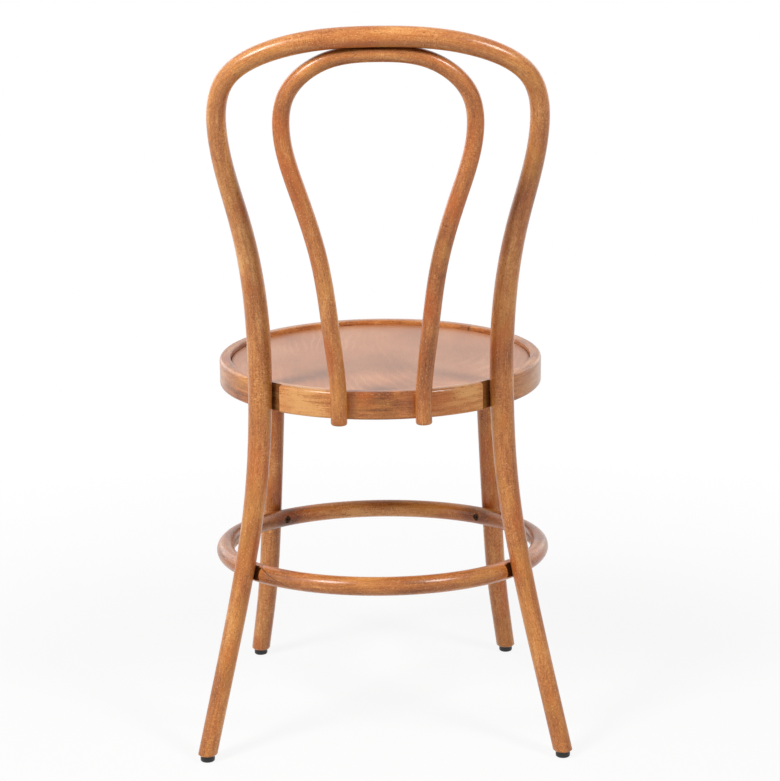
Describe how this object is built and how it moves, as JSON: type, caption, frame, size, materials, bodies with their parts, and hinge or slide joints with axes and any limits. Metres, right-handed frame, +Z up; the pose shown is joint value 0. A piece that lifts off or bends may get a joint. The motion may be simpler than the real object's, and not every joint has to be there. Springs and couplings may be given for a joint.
{
  "type": "bentwood bistro chair",
  "caption": "Bentwood dining chair: bent hoops for a back, round seat ring with a sunk plywood panel, bent front legs and a leg ring below.",
  "frame": {"origin": "on the floor, under the middle of the chair's own box", "axes": "+Z up, the sitter faces -Y and the back leans towards +Y, +X to the sitter's left"},
  "size_m": [0.4573, 0.4917, 0.894],
  "materials": {
    "stained_beech": "satin lacquer",
    "plain_beech": "bare sanded",
    "plywood_veneer": "satin lacquer",
    "black_nylon": "moulded",
    "zinc_steel": "zinc plated"
  },
  "bodies": {
    "root": {"back_frame": "stained_beech", "inner_hoop": "stained_beech", "leg_ring": "stained_beech", "seat_ring": "stained_beech", "front_leg_left": "stained_beech", "front_leg_right": "stained_beech", "front_block_left": "plain_beech", "front_block_right": "plain_beech", "seat_panel": "plywood_veneer", "glide_rear_left": "black_nylon", "glide_rear_right": "black_nylon", "glide_front_left": "black_nylon", "glide_front_right": "black_nylon", "rear_leg_studs": "zinc_steel", "rear_leg_washers": "zinc_steel", "rear_leg_nuts": "zinc_steel", "leg_ring_screws": "zinc_steel", "inner_hoop_screws": "zinc_steel", "crown_screws": "zinc_steel", "tenon_screws": "zinc_steel", "front_block_screws": "zinc_steel", "glide_nails": "zinc_steel"}
  },
  "joints": []
}
